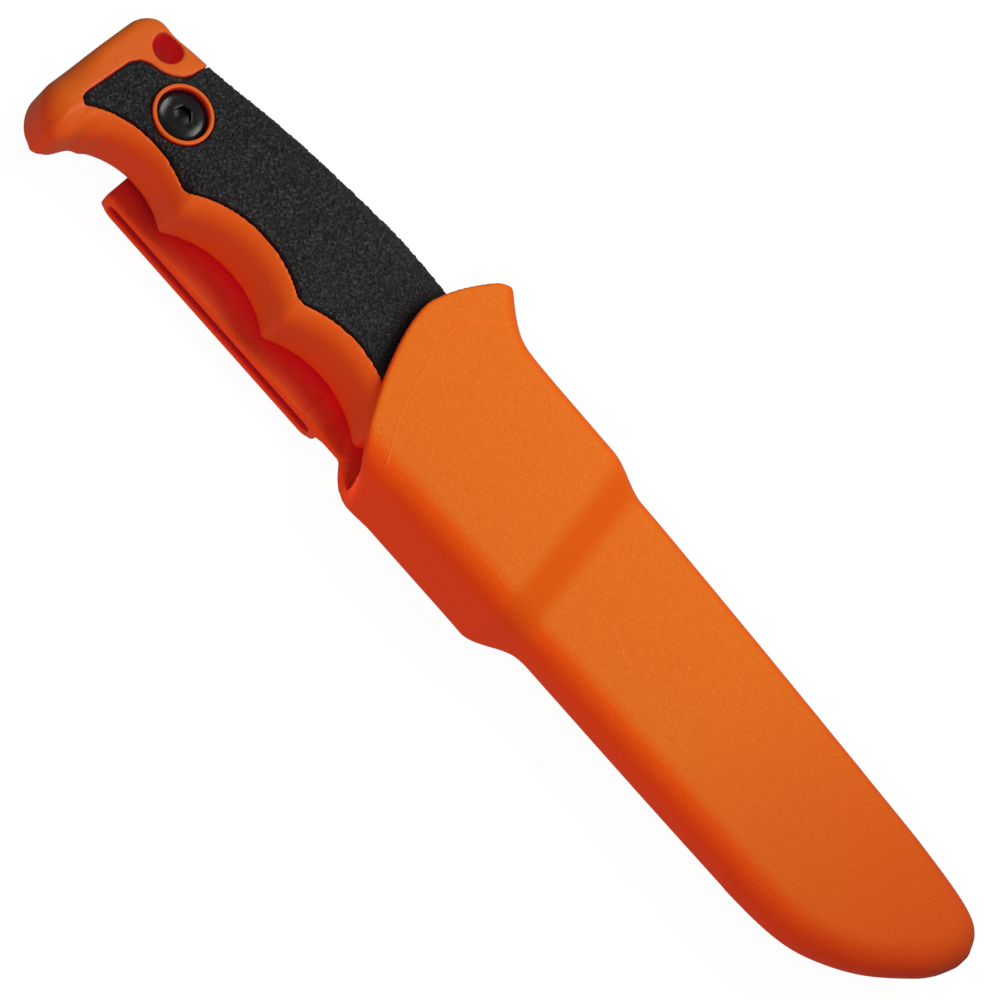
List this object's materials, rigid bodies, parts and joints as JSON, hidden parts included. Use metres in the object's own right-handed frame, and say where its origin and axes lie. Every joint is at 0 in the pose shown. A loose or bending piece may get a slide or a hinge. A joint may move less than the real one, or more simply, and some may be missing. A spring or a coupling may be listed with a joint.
{
  "type": "rigging knife",
  "caption": "Fixed-blade rigging knife with a finger-grooved rubber grip, held in a one-piece moulded belt sheath that it draws straight out of.",
  "frame": {"origin": "middle of the bounding box's underside, on the plane of the belt loop's back strap", "axes": "+X from the pommel to the sheath tip, +Y from the cutting edge towards the spine, +Z out of the front face; the sheathed knife lies on its back"},
  "size_m": [0.2142, 0.046, 0.0262],
  "materials": {
    "sheath_plastic": "fine spark-eroded grain, bright orange",
    "core_plastic": "smooth satin, orange",
    "grip_rubber": "coarse pebbled texture, black",
    "blade_steel": "satin ground stainless",
    "black_oxide_steel": "black oxide, semi-gloss"
  },
  "bodies": {
    "sheath": {"sheath_body": "sheath_plastic"},
    "knife": {"handle_core": "core_plastic", "grip_overmould": "grip_rubber", "blade": "blade_steel", "handle_screw": "black_oxide_steel", "barrel_nut": "black_oxide_steel"}
  },
  "joints": [
    {"name": "draw", "type": "slide", "parent": "sheath", "child": "knife", "axis": [-1, 0, 0], "range_m": [0, 0.14]}
  ]
}
